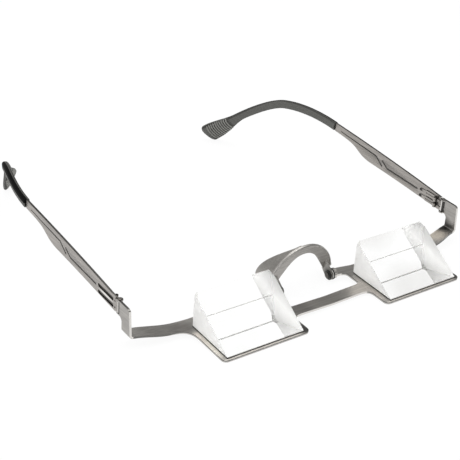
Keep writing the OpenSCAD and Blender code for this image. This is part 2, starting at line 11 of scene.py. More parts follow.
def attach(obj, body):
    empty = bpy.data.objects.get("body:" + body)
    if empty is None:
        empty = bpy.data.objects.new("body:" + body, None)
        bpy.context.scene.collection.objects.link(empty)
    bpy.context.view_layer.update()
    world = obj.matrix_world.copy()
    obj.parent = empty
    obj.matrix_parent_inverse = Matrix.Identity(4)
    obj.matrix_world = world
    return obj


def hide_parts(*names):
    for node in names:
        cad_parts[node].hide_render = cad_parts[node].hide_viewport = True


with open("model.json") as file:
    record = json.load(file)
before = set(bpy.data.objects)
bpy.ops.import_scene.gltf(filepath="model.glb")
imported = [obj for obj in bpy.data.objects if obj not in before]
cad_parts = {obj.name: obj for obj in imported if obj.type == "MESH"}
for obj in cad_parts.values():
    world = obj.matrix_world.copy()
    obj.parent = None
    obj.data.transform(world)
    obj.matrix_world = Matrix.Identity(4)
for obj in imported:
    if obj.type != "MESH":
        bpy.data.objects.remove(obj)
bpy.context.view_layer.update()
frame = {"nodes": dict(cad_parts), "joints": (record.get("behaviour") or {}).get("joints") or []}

bl_info = {
    "name": "Belay glasses",
    "version": (1, 0, 0),
    "blender": (4, 5, 0),
    "location": "3D View > Sidebar > Belay glasses",
    "description": "Builds the finished pieces of a pair of belay glasses and their studio",
    "category": "Object",
}

MM = 0.001
SIDES = {"left": -1, "right": 1}
JOINTS = {joint["name"]: joint for joint in frame["joints"]}

# Places in the glasses' own frame, in millimetres: X to the right as seen from the front, Y towards the wearer from
# the prisms' tall faces, Z up from the upper face of the trays' sheet. The left half mirrors the right one.
SWIVEL_Y, SWIVEL_Z = 3.8, -0.4
EAR_X = 10.9
PIN_X, PIN_Y = 69.9, 10.5
TEMPLE_X, TEMPLE_FACE_X = 70.3, 70.7
SLOT_END_Y = 22.7
SLOT_ZS = (7.45, 9.95)
PRISM_FLOOR_Z, PRISM_FRONT_Y = 0.35, -19
LAYER_XS, LAYER_YS = (18.75, 48.65), (-20.1, -0.1)

# The glasses lie tilted on the table. These turn their own frame into the table's frame.
SWIVEL_AT = Vector((0, SWIVEL_Y, SWIVEL_Z)) * MM
FOLD_AXIS = JOINTS["right_temple_fold"]["axis"]
TILT = math.atan2(-FOLD_AXIS[1], FOLD_AXIS[2])
TURN = Matrix.Rotation(TILT, 4, "X")
LIE = Matrix.Translation(Vector(JOINTS["bridge_swivel"]["pos_m"]) - TURN @ SWIVEL_AT) @ TURN
UNLIE = LIE.inverted()

# Stretches of the grain along X, along Y and on pins, and depths of fine relief in metres
ALONG_X, ALONG_Y, ALONG_PIN = (300, 9000, 9000), (9000, 300, 9000), (4000, 900, 4000)
POLISHED_RELIEF, CUT_RELIEF, FINE_RELIEF, RIBBED_RELIEF = 0.000004, 0.000008, 0.00001, 0.00002
GLASS_IOR = 1.52

# Patches of painted light: a place in millimetres, a radius and a colour
# Painted shade where the right arm meets its fold
FOLD_SHADE = ((69.0, 8.3, 0.9), 5.4, (0.055, 0.052, 0.049))
# Painted highlights and painted shade on the front sheet, standing in for what it reflects
FRONT_PAINTED_LIGHT = (
    ((15.5, -11, 0), 10.0, (0.55, 0.515, 0.475)), ((63, 5, 0), 5.5, (0.80, 0.73, 0.64)),
    ((-50.3, -11.5, 0), 9.0, (0.92, 0.86, 0.78)), ((-11, -8.5, 0), 7.0, (0.24, 0.23, 0.22)),
    ((-52.5, 0.5, 0), 5.0, (0.29, 0.275, 0.26)), ((-50.0, -6.0, 0), 3.5, (0.84, 0.78, 0.71)),
    ((0, -9, 0), 10.0, (0.34, 0.325, 0.305)), FOLD_SHADE,
    ((-16.8, -19.0, 0), 4.5, (0.09, 0.087, 0.083)), ((50.4, -19.0, 0), 4.0, (0.12, 0.115, 0.11)),
)
# Painted highlight on the trays' front lips
FRONT_LIP_HIGHLIGHT = (0.97, 0.92, 0.86)


class GLASSES_PG_sheet(bpy.types.PropertyGroup):
    """Sizes and colours of the metal sheets"""
    metal: FloatVectorProperty(name="Metal", description="Colour of the brushed faces", subtype="COLOR",
                               size=3, min=0, max=1, default=(0.40, 0.385, 0.365))
    temple: FloatVectorProperty(name="Temple metal", description="Colour of the temples' faces", subtype="COLOR",
                                size=3, min=0, max=1, default=(0.39, 0.368, 0.345))
    edge: FloatVectorProperty(name="Cut edge", description="Colour of the stamped edges", subtype="COLOR",
                              size=3, min=0, max=1, default=(0.72, 0.70, 0.67))
    dark_metal: FloatVectorProperty(name="Spring metal", description="Colour of pins, rivets and springs",
                                    subtype="COLOR", size=3, min=0, max=1, default=(0.34, 0.32, 0.30))
    softness: FloatProperty(name="Edge softness", description="Width of the rounding on sheet edges",
                            unit="LENGTH", min=0.00001, max=0.0003, default=0.00007)
    grain: FloatProperty(name="Grain", description="Depth of the brushed grain", unit="LENGTH",
                         min=0, max=0.0001, default=0.000012)


class GLASSES_PG_prism(bpy.types.PropertyGroup):
    """Sizes and colours of the prisms"""
    ground: FloatVectorProperty(name="Ground glass", description="Colour of the ground sides", subtype="COLOR",
                                size=3, min=0, max=1, default=(0.97, 0.965, 0.95))
    lift: FloatProperty(name="Bond gap", description="Gap between the glass and the mirror layer",
                        unit="LENGTH", min=0.000001, max=0.0001, default=0.00001)


class GLASSES_PG_sleeve(bpy.types.PropertyGroup):
    """Sizes and colours of the tip sleeves"""
    grey: FloatVectorProperty(name="Grey", description="Colour of the sleeve", subtype="COLOR",
                              size=3, min=0, max=1, default=(0.082, 0.082, 0.076))
    black: FloatVectorProperty(name="Black", description="Colour of the outer stripe", subtype="COLOR",
                               size=3, min=0, max=1, default=(0.005, 0.005, 0.005))
    ribs: IntProperty(name="Ribs", description="Number of grip ribs on each paddle", min=0, max=20, default=10)
    rib_step: FloatProperty(name="Rib pitch", description="Distance between two ribs", unit="LENGTH",
                            min=0.0005, max=0.003, default=0.00122)
    rib_size: FloatProperty(name="Rib radius", description="Radius of each rib", unit="LENGTH",
                            min=0.0001, max=0.0005, default=0.00035)


class GLASSES_PG_stage(bpy.types.PropertyGroup):
    """Levels of the studio"""
    floor: FloatVectorProperty(name="Floor", description="Colour of the floor", subtype="COLOR",
                               size=3, min=0, max=1, default=(0.9, 0.9, 0.9))
    lens: FloatProperty(name="Lens", description="Focal length of the camera", unit="CAMERA",
                        min=20, max=200, default=91.1)


def settings():
    """The scene's four groups of settings."""
    scene = bpy.context.scene
    return scene.glasses_sheet, scene.glasses_prism, scene.glasses_sleeve, scene.glasses_stage


# Node helpers
def node(tree, kind, inputs=(), **values):
    """A new node with its properties set, and its inputs set or linked."""
    made = tree.nodes.new(kind)
    for key, value in values.items():
        setattr(made, key, value)
    for key, value in dict(inputs).items():
        if isinstance(value, bpy.types.NodeSocket):
            tree.links.new(value, made.inputs[key])
        else:
            made.inputs[key].default_value = value
    return made


def new_look(name):
    """A new material, its node tree and its shader."""
    material = bpy.data.materials.new(name)
    material.use_nodes = True
    return material, material.node_tree, material.node_tree.nodes["Principled BSDF"]


def rgba(colour, scale=1.0):
    """A colour made darker or lighter, with its fourth number."""
    return tuple(min(1.0, c * scale) for c in colour) + (1.0,)


def spots(tree, scale, detail, stretch=(1, 1, 1)):
    """Noise in the glasses' own frame, stretched along the grain."""
    place = node(tree, "ShaderNodeTexCoord").outputs["Object"]
    mapped = node(tree, "ShaderNodeMapping", {"Vector": place, "Rotation": (-TILT, 0, 0), "Scale": stretch})
    return node(tree, "ShaderNodeTexNoise",
                {"Vector": mapped.outputs[0], "Scale": scale, "Detail": detail}).outputs[0]


def own_place(tree):
    """The shaded point in the glasses' own frame, in metres."""
    place = node(tree, "ShaderNodeTexCoord").outputs["Object"]
    return node(tree, "ShaderNodeMapping", {"Vector": place, "Location": UNLIE.to_translation(),
                                            "Rotation": UNLIE.to_euler()}).outputs[0]


def own_measure(tree, axis):
    """The shaded point's X, Y or Z in the glasses' own frame, in metres."""
    return node(tree, "ShaderNodeSeparateXYZ", {0: own_place(tree)}).outputs[axis]


def patch(tree, middle, radius, squeeze=(1, 1, 1)):
    """1 around a place in the glasses' own frame, in millimetres, falling to 0 at the radius.

    A squeeze below 1 along an axis makes the patch longer along it.
    """
    place = node(tree, "ShaderNodeVectorMath", {0: own_place(tree), 1: squeeze}, operation="MULTIPLY").outputs[0]
    there = [m * s * MM for m, s in zip(middle, squeeze)]
    away = node(tree, "ShaderNodeVectorMath", {0: place, 1: there}, operation="DISTANCE")
    flat_part = 0.45
    return ramp(tree, away.outputs["Value"], radius * MM, radius * MM * flat_part)


def ramp(tree, value, low, high, out_low=0.0, out_high=1.0):
    """Maps one range of a value onto another, and holds it at both ends."""
    return node(tree, "ShaderNodeMapRange", {"Value": value, "From Min": low, "From Max": high,
                                             "To Min": out_low, "To Max": out_high}).outputs[0]


def blend_colours(tree, amount, one, two):
    """From colour one, where the amount is 0, to colour two, where it is 1."""
    made = node(tree, "ShaderNodeMix", data_type="RGBA")
    # Inputs 6 and 7 and output 2 are the node's colours
    for socket, value in ((made.inputs[0], amount), (made.inputs[6], one), (made.inputs[7], two)):
        if isinstance(value, bpy.types.NodeSocket):
            tree.links.new(value, socket)
        else:
            socket.default_value = value
    return made.outputs[2]


def vary(tree, noise, low=0.0, high=1.0, reach=0.2):
    """A value that a noise moves between two limits, which it meets at this reach from its mean."""
    return ramp(tree, noise, 0.5 - reach, 0.5 + reach, low, high)


def shades(tree, amount, colour, darker, lighter):
    """From the darker shade of a colour, where the amount is 0, to the lighter one, where it is 1."""
    return blend_colours(tree, amount, rgba(colour, darker), rgba(colour, lighter))


def maths(tree, operation, one, two):
    """The result of one operation on two values."""
    return node(tree, "ShaderNodeMath", {0: one, 1: two}, operation=operation).outputs[0]


def roughen(tree, shader, height, distance, strength):
    """Gives a shader the fine relief of a height, as deep as the distance."""
    bump = node(tree, "ShaderNodeBump", {"Height": height, "Distance": distance, "Strength": strength})
    tree.links.new(bump.outputs[0], shader.inputs["Normal"])


# Finishes
def brushed(name, colour, rough, stretch, depth, patches=(), lip=None):
    """Brushed sheet metal: fine lines along one direction, faint handling marks and patches of painted light.

    Each patch is painted light, bright or dark: a place, a radius, a tone and, where it is long, its squeeze. The
    trays' front lips can have a painted highlight of their own.
    """
    material, tree, shader = new_look(name)
    lines = spots(tree, 1.0, 4.0, stretch)
    marks = spots(tree, 260.0, 2.0)
    streaks = vary(tree, spots(tree, 0.3, 2.0, stretch), reach=0.15)
    tone = shades(tree, streaks, colour, 0.88, 1.18)
    # The front lips get their painted highlight
    if lip:
        lip_from, lip_to = -20.1 * MM, -20.3 * MM
        tone = blend_colours(tree, ramp(tree, own_measure(tree, "Y"), lip_from, lip_to), tone, rgba(lip))
    # Patches of painted highlight and painted shade
    for middle, radius, patch_tone, *squeeze in patches:
        painted_tone = shades(tree, streaks, patch_tone, 0.9, 1.12)
        tone = blend_colours(tree, patch(tree, middle, radius, *squeeze), tone, painted_tone)
    tone = blend_colours(tree, vary(tree, lines, 0.0, 0.3), tone, rgba(colour, 0.45))
    tree.links.new(tone, shader.inputs["Base Color"])
    grain_rough, mark_rough = vary(tree, lines, rough - 0.04, rough + 0.05), vary(tree, marks, -0.03, 0.03)
    tree.links.new(maths(tree, "ADD", grain_rough, mark_rough), shader.inputs["Roughness"])
    shader.inputs["Metallic"].default_value = 1.0
    roughen(tree, shader, lines, depth, 0.6)
    return material


def stamped(name, colour, rough, depth, upper=None):
    """The cut edge of a stamped sheet: smoother than its faces, with fine tears across.

    The upper half of the flat sheet's edge can have a painted shade of its own.
    """
    material, tree, shader = new_look(name)
    tears = spots(tree, 5200.0, 3.0)
    tone = shades(tree, vary(tree, tears, reach=0.15), colour, 0.86, 1.06)
    # Painted shade on the upper half
    if upper:
        lower_from, upper_from = -0.5 * MM, -0.3 * MM
        tone = blend_colours(tree, ramp(tree, own_measure(tree, "Z"), lower_from, upper_from), tone, rgba(upper))
    tree.links.new(tone, shader.inputs["Base Color"])
    tree.links.new(vary(tree, tears, rough - 0.03, rough + 0.06), shader.inputs["Roughness"])
    shader.inputs["Metallic"].default_value = 1.0
    roughen(tree, shader, tears, depth, 0.4)
    return material


def dull(name, colour, rough, scale, depth, specular=0.5):
    """A matt moulded or painted finish with a fine speckle."""
    material, tree, shader = new_look(name)
    speckle = spots(tree, scale, 4.0)
    tree.links.new(shades(tree, vary(tree, speckle), colour, 0.85, 1.12), shader.inputs["Base Color"])
    tree.links.new(vary(tree, speckle, rough - 0.05, rough + 0.05), shader.inputs["Roughness"])
    shader.inputs["Specular IOR Level"].default_value = specular
    roughen(tree, shader, speckle, depth, 0.5)
    return material


def clear_glass(name):
    """Polished crown glass with a trace of a tint."""
    material, tree, shader = new_look(name)
    clouds = vary(tree, spots(tree, 200.0, 2.0))
    tree.links.new(blend_colours(tree, clouds, (1, 1, 1, 1), (0.995, 1, 0.997, 1)), shader.inputs["Base Color"])
    shader.inputs["Roughness"].default_value = 0.0
    shader.inputs["Transmission Weight"].default_value = 1.0
    shader.inputs["IOR"].default_value = GLASS_IOR
    return material


def ground_glass(name, colour, through=0.45, glowing=True):
    """The fine ground sides of a prism: white, half clear, with a sandy grain.

    Seen from inside, they have a painted glow, most at the floor, standing in for the light that real ground glass
    scatters.
    """
    material, tree, shader = new_look(name)
    sand = spots(tree, 4200.0, 5.0)
    clouds = spots(tree, 240.0, 2.0)
    tree.links.new(shades(tree, vary(tree, clouds), colour, 0.94, 1.04), shader.inputs["Base Color"])
    tree.links.new(vary(tree, sand, 0.5, 0.68), shader.inputs["Roughness"])
    shader.inputs["Transmission Weight"].default_value = through
    shader.inputs["IOR"].default_value = GLASS_IOR
    if glowing:
        # Painted glow, seen from inside the glass
        glow_top, floor_glow = 12 * MM, 0.34
        by_height = ramp(tree, own_measure(tree, "Z"), 0.0, glow_top, floor_glow, 0.0)
        inside = node(tree, "ShaderNodeNewGeometry").outputs["Backfacing"]
        tree.links.new(maths(tree, "MULTIPLY", inside, by_height), shader.inputs["Emission Strength"])
        shader.inputs["Emission Color"].default_value = (1, 0.995, 0.98, 1)
    roughen(tree, shader, sand, FINE_RELIEF, 0.12)
    return material


def silvered(name):
    """The mirror coat under a prism, with painted shade at one front edge."""
    material, tree, shader = new_look(name)
    haze = spots(tree, 150.0, 3.0)
    tone = blend_colours(tree, vary(tree, haze), (0.955, 0.955, 0.95, 1), (0.99, 0.99, 0.985, 1))
    front_shade = patch(tree, (33, PRISM_FRONT_Y, 0.3), 16)
    tone = blend_colours(tree, front_shade, tone, (0.86, 0.855, 0.845, 1))
    tree.links.new(tone, shader.inputs["Base Color"])
    shader.inputs["Roughness"].default_value = 0.0
    shader.inputs["Metallic"].default_value = 1.0
    return material


def striped_rubber(name, grey, black):
    """Soft sleeve. The UV map's first number gives painted shade at its rims and rib gaps, its second the black
    stripe.
    """
    material, tree, shader = new_look(name)
    drawn = node(tree, "ShaderNodeSeparateXYZ", {0: node(tree, "ShaderNodeTexCoord").outputs["UV"]}).outputs
    speckle = spots(tree, 3000.0, 4.0)
    base = blend_colours(tree, drawn[0], shades(tree, vary(tree, speckle), grey, 0.88, 1.12), rgba(grey, 0.22))
    stripe = ramp(tree, drawn[1], 0.35, 0.6)
    tree.links.new(blend_colours(tree, stripe, base, rgba(black)), shader.inputs["Base Color"])
    tree.links.new(vary(tree, speckle, 0.52, 0.64), shader.inputs["Roughness"])
    dull_parts = maths(tree, "MAXIMUM", stripe, drawn[0])
    tree.links.new(ramp(tree, dull_parts, 0.0, 0.9, 0.35, 0.03), shader.inputs["Specular IOR Level"])
    roughen(tree, shader, speckle, FINE_RELIEF, 0.5)
    return material


# Mesh helpers
def linked(name, data):
    """A new object of the scene with this data."""
    made = bpy.data.objects.new(name, data)
    bpy.context.scene.collection.objects.link(made)
    return made


def welded(piece_node, name):
    """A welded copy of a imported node's mesh, with flat faces joined."""
    mesh = frame["nodes"][piece_node].data.copy()
    mesh.name = name
    mesh.materials.clear()
    shape = bmesh.new()
    shape.from_mesh(mesh)
    weld_distance, flat_angle = 1e-7, 0.002
    bmesh.ops.remove_doubles(shape, verts=shape.verts, dist=weld_distance)
    bmesh.ops.dissolve_limit(shape, angle_limit=flat_angle, verts=shape.verts, edges=shape.edges)
    shape.to_mesh(mesh)
    shape.free()
    return linked(name, mesh)


def paint(piece, looks, choose):
    """Gives each face the look that choose(middle, normal) names.

    Both are in the glasses' own frame, the middle in millimetres.
    """
    mesh = piece.data
    mesh.materials.clear()
    for look in looks:
        mesh.materials.append(look)
    for face in mesh.polygons:
        middle = UNLIE @ Vector(face.center) / MM
        normal = UNLIE.to_3x3() @ Vector(face.normal)
        face.material_index = looks.index(choose(middle, normal))


def outwards(middle, normal):
    """How far a face looks away from the middle of the glasses: 1 fully, -1 towards it."""
    return normal.x * math.copysign(1, middle.x)


def weighted_bevel(piece, name, width, segments, look):
    """Bevels the marked edges in a look of their own."""
    bevel = piece.modifiers.new(name, "BEVEL")
    bevel.width = width
    bevel.segments = segments
    bevel.limit_method = "WEIGHT"
    bevel.material = piece.data.materials.find(look.name)
    return bevel


def smooth(piece, sharp):
    """Shades a piece smoothly, except over edges sharper than an angle in degrees."""
    for face in piece.data.polygons:
        face.use_smooth = True
    piece.data.set_sharp_from_angle(angle=math.radians(sharp))


def soften(piece, width, sharp=35.0):
    """Rounds the sharp edges and shades the rest smoothly."""
    smooth(piece, sharp)
    bevel = piece.modifiers.new("soft edges", "BEVEL")
    bevel.width = width
    bevel.segments = 2
    bevel.limit_method = "ANGLE"
    bevel.angle_limit = math.radians(sharp)
    bevel.harden_normals = True


def solid_piece(name, rings):
    """A closed mesh from rings of points, in the glasses' own frame, in millimetres."""
    shape = bmesh.new()
    made = [[shape.verts.new(LIE @ (Vector(point) * MM)) for point in ring] for ring in rings]
    count = len(rings[0])
    for one, two in zip(made, made[1:]):
        for i in range(count):
            shape.faces.new((one[i], one[(i + 1) % count], two[(i + 1) % count], two[i]))
    shape.faces.new(made[0][::-1])
    shape.faces.new(made[-1])
    bmesh.ops.recalc_face_normals(shape, faces=shape.faces)
    mesh = bpy.data.meshes.new(name)
    shape.to_mesh(mesh)
    shape.free()
    return linked(name, mesh)


def settle(piece, body, slot, *nodes):
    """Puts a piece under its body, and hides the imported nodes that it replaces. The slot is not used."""
    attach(piece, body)
    if nodes:
        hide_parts(*nodes)


def plain_copy(node_name, name, body, slot, look, width):
    """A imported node's own shape with softened edges and one look."""
    piece = welded(node_name, name)
    piece.data.materials.append(look)
    soften(piece, width)
    settle(piece, body, slot, node_name)


# Looks, each made once
LOOKS = {}


def shared(finish, name, *colours, **how):
    """The look of this name, which the finish makes when it is first asked for."""
    if name not in LOOKS:
        LOOKS[name] = finish(name, *colours, **how)
    return LOOKS[name]


def look_front():
    """The flat front sheet, brushed from side to side, with painted highlights and painted shade that stand in for
    its reflections, and painted highlights on the trays' front lips.
    """
    sheet = settings()[0]
    return shared(brushed, "brushed front metal", sheet.metal, rough=0.38, stretch=ALONG_X, depth=sheet.grain,
                  patches=FRONT_PAINTED_LIGHT, lip=FRONT_LIP_HIGHLIGHT)


def look_saddle():
    """The saddle's metal, with painted shade around the swivel rivets."""
    sheet = settings()[0]
    ear_shade = [((side * EAR_X, SWIVEL_Y, SWIVEL_Z), 3.6, (0.1, 0.097, 0.09)) for side in SIDES.values()]
    return shared(brushed, "brushed saddle metal", [c * 1.1 for c in sheet.metal], rough=0.52, stretch=ALONG_X,
                  depth=sheet.grain, patches=ear_shade)


def look_plate():
    """The upright end plates, with painted shade where the right one meets its fold."""
    sheet = settings()[0]
    return shared(brushed, "brushed plate metal", sheet.metal, rough=0.36, stretch=ALONG_Y, depth=sheet.grain,
                  patches=(FOLD_SHADE,))


def look_bend():
    """The inner side of the folds, darkened as painted shade."""
    sheet = settings()[0]
    return shared(brushed, "stretched bend metal", [c * 0.45 for c in sheet.metal], rough=0.3,
                  stretch=(900, 2500, 900), depth=sheet.grain * 2)


def look_shade():
    """The upper cut edges of temples and end plates, darkened as painted shade."""
    metal = settings()[0].metal
    return shared(stamped, "dark top edge", [c * 0.45 for c in metal], rough=0.25, depth=CUT_RELIEF)


def look_temple():
    """The temples' metal, with a painted highlight on the narrow bar between the two hinge slots."""
    sheet = settings()[0]
    # Painted highlights on the bars between the hinge slots
    bars = [((side * TEMPLE_FACE_X, 18.3, 8.75), 0.55, (0.9, 0.88, 0.84), (1, 0.1, 1)) for side in SIDES.values()]
    return shared(brushed, "brushed temple metal", sheet.temple, rough=0.36, stretch=ALONG_Y, depth=sheet.grain,
                  patches=bars)


def look_edge():
    """Bright cut edges."""
    return shared(stamped, "stamped edge", settings()[0].edge, rough=0.16, depth=CUT_RELIEF)


def look_rim():
    """The trays' and arms' cut edges, with painted shade on their upper half."""
    edge = settings()[0].edge
    return shared(stamped, "two-tone cut edge", [c * 0.85 for c in edge], rough=0.22, depth=CUT_RELIEF,
                  upper=[c * 0.22 for c in edge])


def look_spring():
    """The spring's outer face, seen in the slots, painted near black as shade."""
    return shared(brushed, "ribbed spring leaf", (0.075, 0.07, 0.063), rough=0.4, stretch=(200, 2400, 200),
                  depth=RIBBED_RELIEF)


def look_leaf():
    """The spring's inner face, with painted shadows where its fingers end in the slots."""
    sheet = settings()[0]
    slot_shadows = [((side * 70.0, SLOT_END_Y, z), 1.3, (0.02, 0.02, 0.02)) for side in SIDES.values() for z in SLOT_ZS]
    return shared(brushed, "smudged leaf metal", sheet.temple, rough=0.36, stretch=ALONG_Y, depth=sheet.grain,
                  patches=slot_shadows)


def look_pin():
    """The hinge pins."""
    sheet = settings()[0]
    return shared(brushed, "spring metal", sheet.dark_metal, rough=0.32, stretch=ALONG_PIN, depth=sheet.grain)


def look_groove():
    """The engraved lines, and the hinge barrels' fronts, which carry painted shade."""
    return shared(dull, "engraved groove", (0.045, 0.042, 0.038), rough=0.6, scale=3000.0, depth=FINE_RELIEF)


class GLASSES_OT_front_frame(bpy.types.Operator):
    """Finish the front sheet: brushed faces, polished cut edges"""
    bl_idname = "glasses.front_frame"
    bl_label = "Front frame"

    def execute(self, context):
        sheet = settings()[0]
        piece = welded("front_frame", "front_sheet")
        looks = look_front(), look_edge(), look_plate(), look_bend(), look_shade(), look_rim()
        flat, edge, plate, bend, top_edge, rim = looks
        bend_x, bend_top_z, plate_x, plate_foot_z, tray_x = 68.4, 1.6, 69.0, 2.0, 15

        def choose(middle, normal):
            across = abs(middle.x)
            in_fold = bend_x < across < TEMPLE_X and middle.z < bend_top_z
            if in_fold and outwards(middle, normal) < -0.15 and normal.z > 0.1:
                return bend
            if middle.z > plate_foot_z:
                if abs(normal.x) >= 0.5:
                    return plate
                # Upper edges that look up get painted shade
                return top_edge if normal.z > 0.85 else edge
            if across > plate_x:
                return edge if abs(normal.y) > 0.7 else plate
            if abs(normal.z) >= 0.5:
                return flat
            return rim if across > tray_x else edge

        paint(piece, looks, choose)
        soften(piece, sheet.softness)
        settle(piece, "front", "brushed_metal", "front_frame")
        return {"FINISHED"}


class GLASSES_OT_nose_bridge(bpy.types.Operator):
    """Finish the nose bridge: brushed saddle with a bright ridge"""
    bl_idname = "glasses.nose_bridge"
    bl_label = "Nose bridge"

    def execute(self, context):
        sheet = settings()[0]
        piece = welded("nose_bridge", "nose_saddle_sheet")
        crest = shared(stamped, "saddle crest", [c * 0.62 for c in sheet.edge], rough=0.42, depth=POLISHED_RELIEF)
        saddle = look_saddle()
        paint(piece, (saddle, crest), lambda middle, normal: saddle)
        self.mark_ridge(piece.data)
        weighted_bevel(piece, "bright ridge", 0.26 * MM, 3, crest)
        soften(piece, sheet.softness, 50.0)
        settle(piece, "bridge", "brushed_metal", "nose_bridge")
        return {"FINISHED"}

    def mark_ridge(self, mesh):
        """Marks the crease between the front band, which looks forwards, and the saddle, which looks outwards."""
        shape = bmesh.new()
        shape.from_mesh(mesh)
        weights = shape.edges.layers.float.new("bevel_weight_edge")
        above_ears_z = 2
        for edge in shape.edges:
            middle = UNLIE @ ((edge.verts[0].co + edge.verts[1].co) / 2) / MM
            faces = [UNLIE.to_3x3() @ face.normal for face in edge.link_faces]
            if len(faces) == 2 and middle.z > above_ears_z:
                radial = Vector((middle.x, 0, middle.z)).normalized()
                band, saddle = sorted(faces, key=lambda normal: normal.y)
                edge[weights] = float(band.y < -0.75 and saddle.dot(radial) > 0.2 and saddle.y > -0.6)
        shape.to_mesh(mesh)
        shape.free()


class GLASSES_OT_bridge_swivels(bpy.types.Operator):
    """Finish the rivets and washers of the bridge's swivels"""
    bl_idname = "glasses.bridge_swivels"
    bl_label = "Bridge swivels"

    def execute(self, context):
        sheet = settings()[0]
        bright = shared(stamped, "polished washer", (0.8, 0.79, 0.76), rough=0.14, depth=POLISHED_RELIEF)
        black = shared(dull, "black ring", (0.012, 0.012, 0.012), rough=0.45, scale=2500.0, depth=CUT_RELIEF)
        rivet = shared(brushed, "burnished rivet", (0.1, 0.095, 0.09), rough=0.3, stretch=ALONG_PIN,
                       depth=sheet.grain)
        for side in SIDES:
            plain_copy(f"nose_rivet_{side}", f"swivel_rivet_{side}", "front", "pin_metal", rivet, sheet.softness)
            plain_copy(f"nose_washer_{side}", f"steel_washer_{side}", "front", "washer_metal", bright, sheet.softness)
            plain_copy(f"friction_washers_{side}", f"black_rings_{side}", "front", "black_washer", black,
                       sheet.softness)
        return {"FINISHED"}


class GLASSES_OT_prisms(bpy.types.Operator):
    """Make the glass prisms with ground sides over a silvered mirror"""
    bl_idname = "glasses.prisms"
    bl_label = "Prisms"

    def execute(self, context):
        prism = settings()[1]
        glass = shared(clear_glass, "polished glass")
        frosted = shared(ground_glass, "ground glass", prism.ground)
        rim = shared(ground_glass, "ground bevel", (0.72, 0.72, 0.7), through=0.3, glowing=False)
        silver = shared(silvered, "silver mirror coat")
        bond = shared(dull, "black bond", (0.010, 0.010, 0.010), rough=0.5, scale=1800.0, depth=FINE_RELIEF)

        def choose(middle, normal):
            if abs(normal.x) > 0.9:
                return frosted
            if normal.z < -0.9:
                return silver
            polished = normal.y > 0.95 or (normal.z > 0.8 and normal.y < 0)
            return glass if polished and middle.y > PRISM_FRONT_Y else rim

        for side in SIDES:
            piece = welded(f"prism_{side}", f"glass_wedge_{side}")
            self.sharpen(piece.data, PRISM_FLOOR_Z * MM + prism.lift)
            paint(piece, (glass, frosted, rim, silver), choose)
            settle(piece, "front", "prism_glass", f"prism_{side}")
            # A layer's name, lower and upper height, spread past the glass, slot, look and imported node
            for name, low, high, spread, slot, look, old in (
                    ("silver_layer", 0.13, 0.345, 0.0, "mirror_coat", silver, "mirror_layer"),
                    # The black bond, squeezed out past the glass, is real and also stands in as painted shadow for
                    # the gap under the prism
                    ("bond_bead", 0.0, 0.12, 0.14, "black_bond", bond, "bonding_pad")):
                layer = self.sheet(f"{name}_{side}", SIDES[side], low, high, spread)
                layer.data.materials.append(look)
                settle(layer, "front", slot, f"{old}_{side}")
        return {"FINISHED"}

    def sharpen(self, mesh, floor):
        """Lifts a prism onto its bond gap, and makes the bevels above and below its tall face smaller."""
        reach, kept, above_top = 0.7 * MM, 0.45, 0.2 * MM
        ridge = max((UNLIE @ point.co).z for point in mesh.vertices) + above_top
        for point in mesh.vertices:
            place = UNLIE @ point.co
            for corner in (Vector((0, 0, ridge)), Vector((0, 0, floor))):
                away = Vector((0, place.y, place.z - corner.z))
                if away.length < reach:
                    place.yz = away.yz * kept + corner.yz
            place.z = max(place.z, floor)
            point.co = LIE @ place

    def sheet(self, name, side, low, high, spread):
        """A thin sheet under a prism, almost flush with the prism's sides or squeezed out past them."""
        inner, outer = LAYER_XS[0] - spread, LAYER_XS[1] + spread
        front, back = LAYER_YS[0] - spread, LAYER_YS[1] + spread
        corners = ((inner, front), (outer, front), (outer, back), (inner, back))
        return solid_piece(name, [[(side * x, y, z) for x, y in corners] for z in (low, high)])


class GLASSES_OT_temples(bpy.types.Operator):
    """Finish the temples: brushed sheet, cut edges and engraved lines"""
    bl_idname = "glasses.temples"
    bl_label = "Temples"

    def execute(self, context):
        sheet = settings()[0]
        looks = look_temple(), look_edge(), look_groove(), look_shade()
        flat, edge, groove, top_edge = looks
        lines_from_y, lines_to_y, barrel_radius, barrel_back_y = 14, 72, 0.9, 11

        def choose(middle, normal):
            depth = abs(abs(middle.x) - TEMPLE_X)
            groove_floor = depth < 0.25 and abs(normal.x) > 0.9
            groove_wall = 0.15 < depth < 0.42 and abs(normal.x) < 0.5
            if lines_from_y < middle.y < lines_to_y and (groove_floor or groove_wall):
                return groove
            from_pin = math.hypot(abs(middle.x) - PIN_X, middle.y - PIN_Y)
            if from_pin < barrel_radius and middle.y < barrel_back_y:
                # The barrels' fronts are painted shade
                return groove if normal.y < -0.4 else edge
            if abs(normal.x) > 0.5:
                return flat
            # Upper edges that look up get painted shade
            return top_edge if normal.z > 0.5 else edge

        for side in SIDES:
            piece = welded(f"temple_{side}", f"temple_sheet_{side}")
            piece.data.attributes.new("bevel_weight_edge", "FLOAT", "EDGE")
            paint(piece, looks, choose)
            self.mark_grooves(piece.data, looks.index(flat), looks.index(groove))
            burr = weighted_bevel(piece, "groove burr", 0.18 * MM, 1, groove)
            burr.use_clamp_overlap = False
            soften(piece, sheet.softness, 50.0)
            settle(piece, f"{side}_temple", "brushed_metal", f"temple_{side}")
        return {"FINISHED"}

    def mark_grooves(self, mesh, flat_number, groove_number):
        """Marks the edges where the engraved lines' walls meet the temple's face for their own bevel."""
        shape = bmesh.new()
        shape.from_mesh(mesh)
        weights = shape.edges.layers.float["bevel_weight_edge"]
        for edge in shape.edges:
            numbers = sorted(face.material_index for face in edge.link_faces)
            walls = [face for face in edge.link_faces
                     if face.material_index == groove_number and abs(face.normal.x) < 0.5]
            edge[weights] = float(numbers == [flat_number, groove_number] and len(walls) == 1)
        shape.to_mesh(mesh)
        shape.free()


